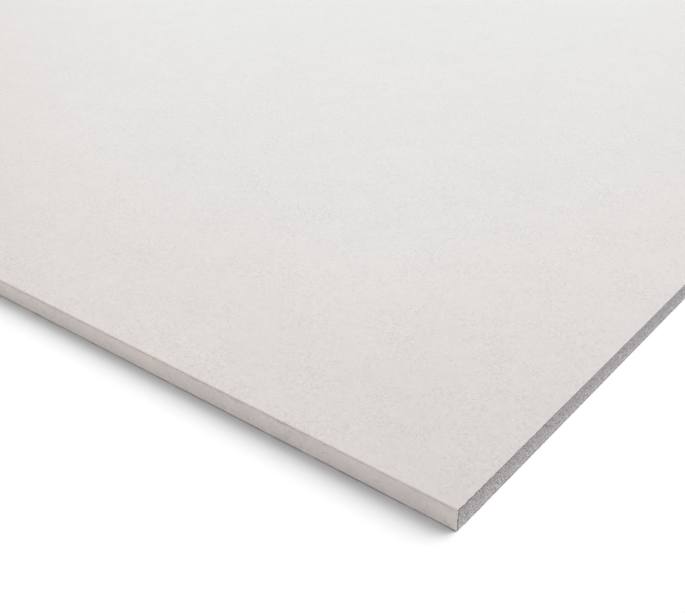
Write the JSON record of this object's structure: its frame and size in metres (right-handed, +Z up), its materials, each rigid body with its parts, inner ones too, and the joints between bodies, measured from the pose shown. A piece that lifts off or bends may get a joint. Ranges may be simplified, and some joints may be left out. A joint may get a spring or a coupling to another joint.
{
  "type": "drywall sheet",
  "caption": "Flat rectangular square-edge drywall sheet: foamed gypsum core in an off-white face paper wrapped round both long edges, closed by a grey-brown back paper.",
  "frame": {"origin": "middle of the back face, on the surface the sheet lies on", "axes": "+X along the length towards a cut end, +Y across the width towards a paper-wrapped long edge, +Z up through the thickness from the back paper to the face paper"},
  "size_m": [2.4, 1.2, 0.0125],
  "materials": {
    "face_paper": "matt off-white liner paper with a faint fibre and speck",
    "back_paper": "matt grey-brown recycled liner paper",
    "gypsum": "chalky, finely porous, cut"
  },
  "bodies": {
    "root": {"gypsum_core": "gypsum", "face_paper": "face_paper", "back_paper": "back_paper"}
  },
  "joints": []
}
